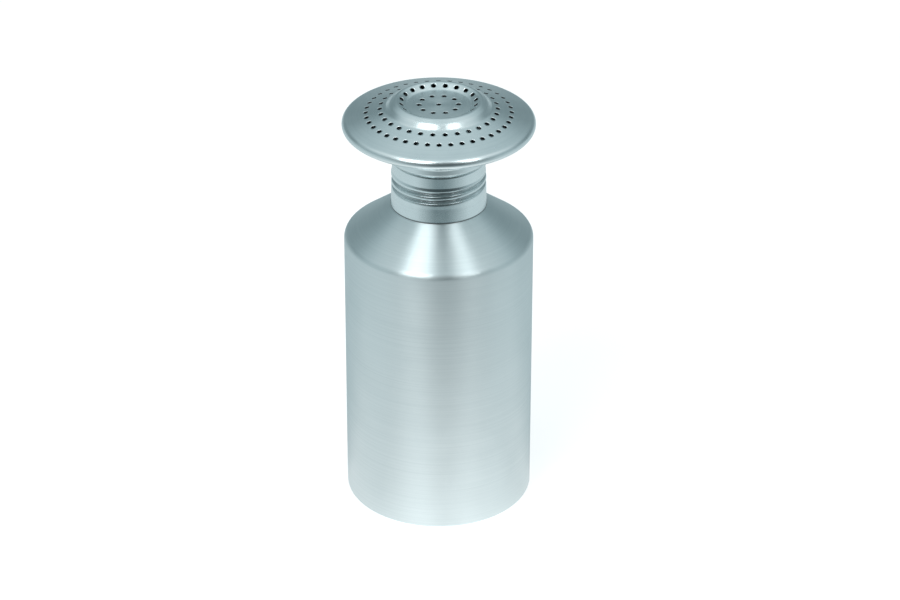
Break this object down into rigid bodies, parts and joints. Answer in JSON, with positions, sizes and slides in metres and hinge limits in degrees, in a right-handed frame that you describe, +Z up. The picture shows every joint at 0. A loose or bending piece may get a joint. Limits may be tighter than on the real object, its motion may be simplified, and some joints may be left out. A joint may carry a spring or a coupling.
{
  "type": "sprinkler-top spice shaker",
  "caption": "Tall aluminium shaker can with a rolled screw neck and a wide mushroom sprinkler head that screws off for filling.",
  "frame": {"origin": "centre of the base, on the surface that the shaker stands on", "axes": "+Z up along the shaker's axis, -Y towards its front, +X to its right seen from the front"},
  "size_m": [0.0808, 0.0808, 0.1849],
  "materials": {
    "can_aluminium": "satin, fine brushing around the axis",
    "seal_rubber": "matt",
    "collar_aluminium": "half bright, spun",
    "funnel_aluminium": "satin, fine brushing around the axis",
    "top_aluminium": "satin, fine brushing around the axis"
  },
  "bodies": {
    "can": {"container": "can_aluminium"},
    "seal": {"seal_ring": "seal_rubber"},
    "head": {"screw_collar": "collar_aluminium", "head_funnel": "funnel_aluminium", "sprinkler_top": "top_aluminium"}
  },
  "joints": [
    {"name": "head_rise", "type": "slide", "parent": "can", "child": "seal", "axis": [0, 0, 1], "range_m": [0, 0.023]},
    {"name": "head_turn", "type": "hinge", "parent": "seal", "child": "head", "pos_m": [0, 0, 0.15], "axis": [0, 0, 1], "range_deg": [0, 2430]}
  ],
  "couplings": [
    {"joint": "head_rise", "follows": "head_turn", "m_per_rad": 0.00054113}
  ]
}
